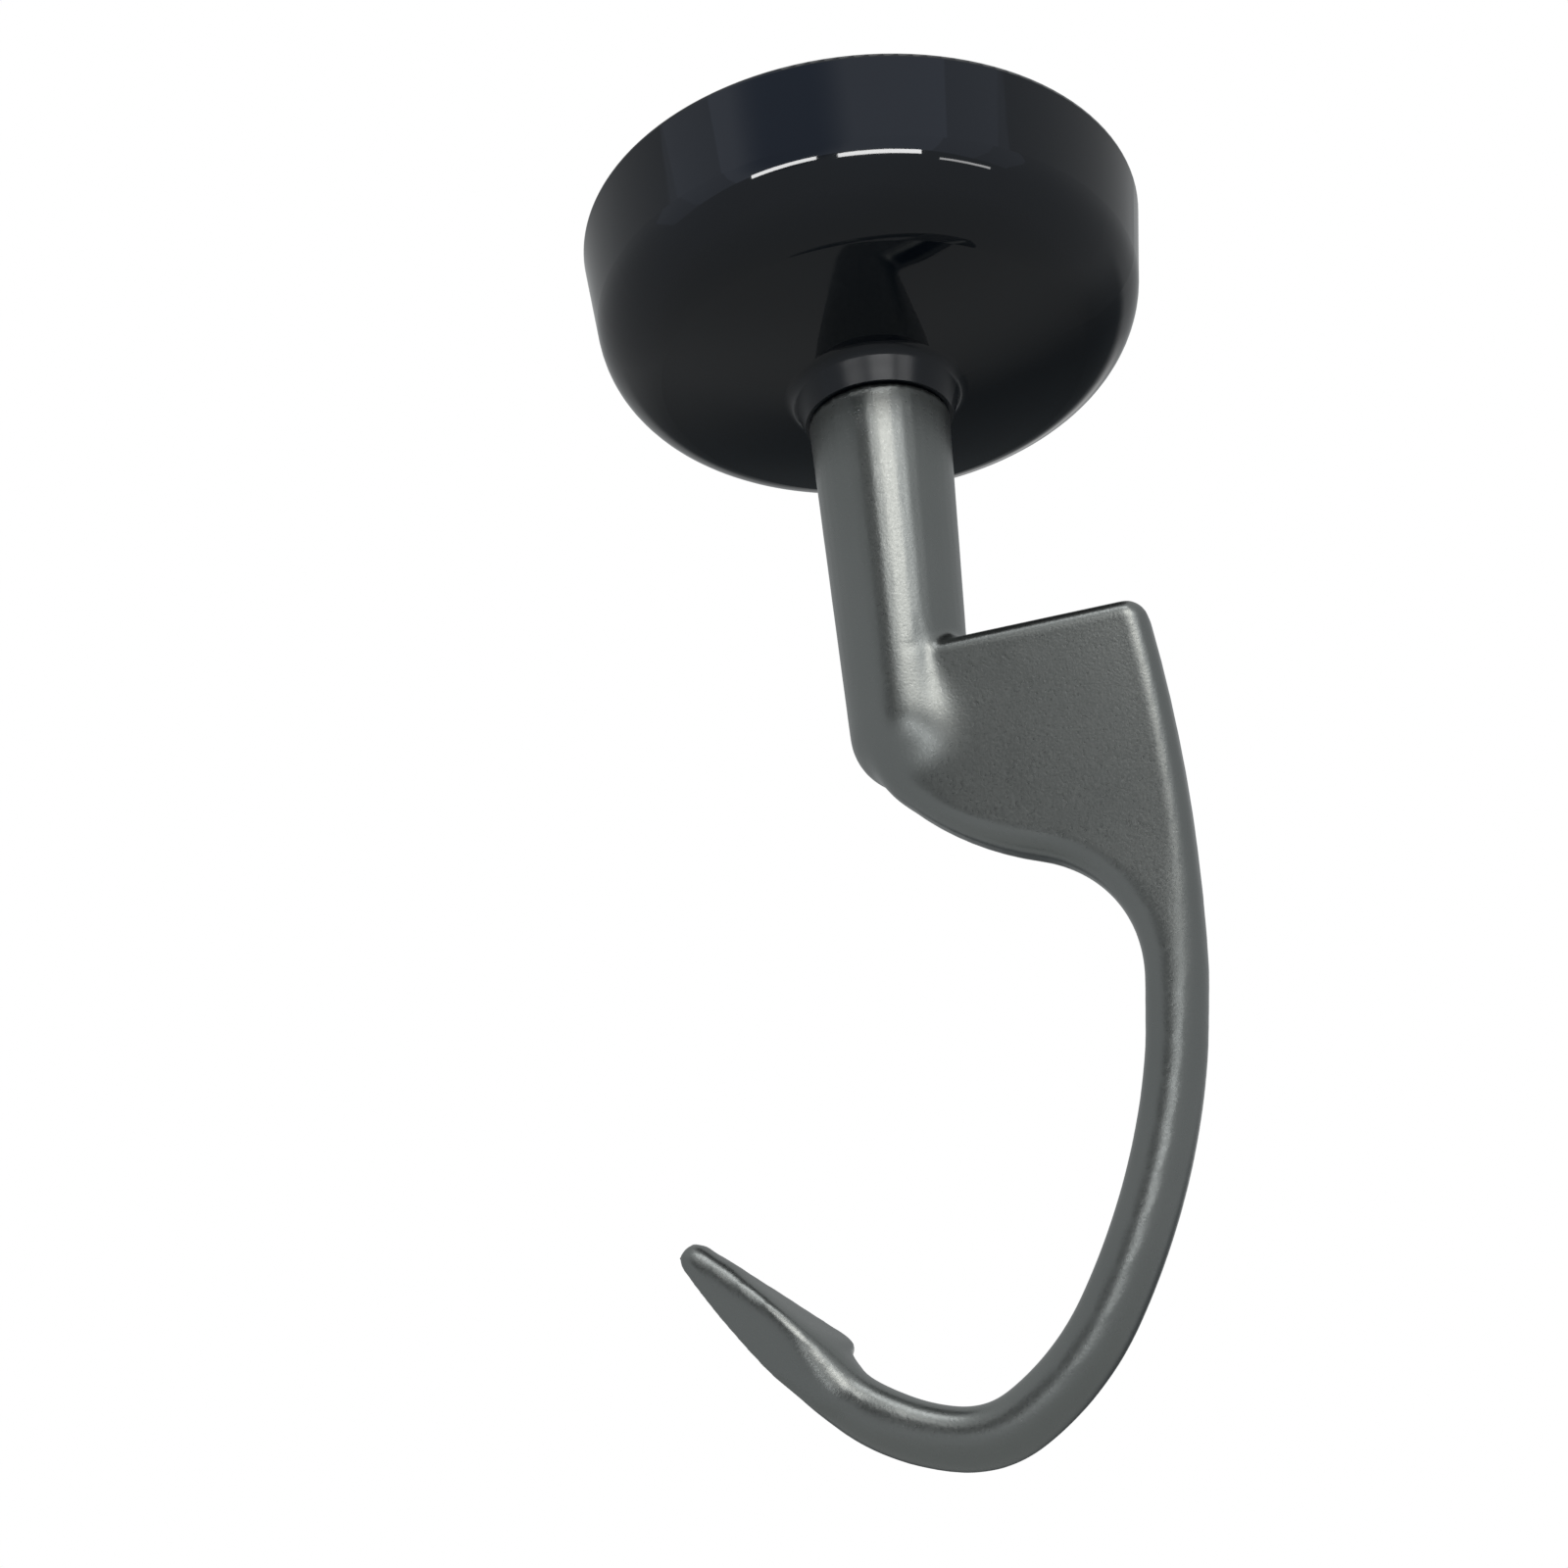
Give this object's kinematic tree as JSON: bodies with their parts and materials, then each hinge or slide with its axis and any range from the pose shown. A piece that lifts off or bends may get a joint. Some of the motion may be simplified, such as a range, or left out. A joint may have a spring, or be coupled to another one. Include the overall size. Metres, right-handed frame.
{
  "type": "stand mixer dough hook",
  "caption": "Hook-shaped dough kneading tool for a stand mixer: a cast arm with a blade and a bent rod, a hollow drive shaft and a cup-shaped splash cap.",
  "frame": {"origin": "middle of the drive socket's mouth, on the shaft's axis", "axes": "+Z along the shaft's axis, out of the socket towards the mixer; +X towards the blade; -Y is the front that leads through the dough"},
  "size_m": [0.0798, 0.0798, 0.174],
  "materials": {
    "coated_casting": "satin metallic grey coating on a die-cast aluminium arm",
    "cap_plastic": "moulded gloss black",
    "spring_steel": "bright spring steel"
  },
  "bodies": {
    "root": {"hook": "coated_casting", "cap": "cap_plastic", "retaining_ring": "spring_steel"}
  },
  "joints": []
}
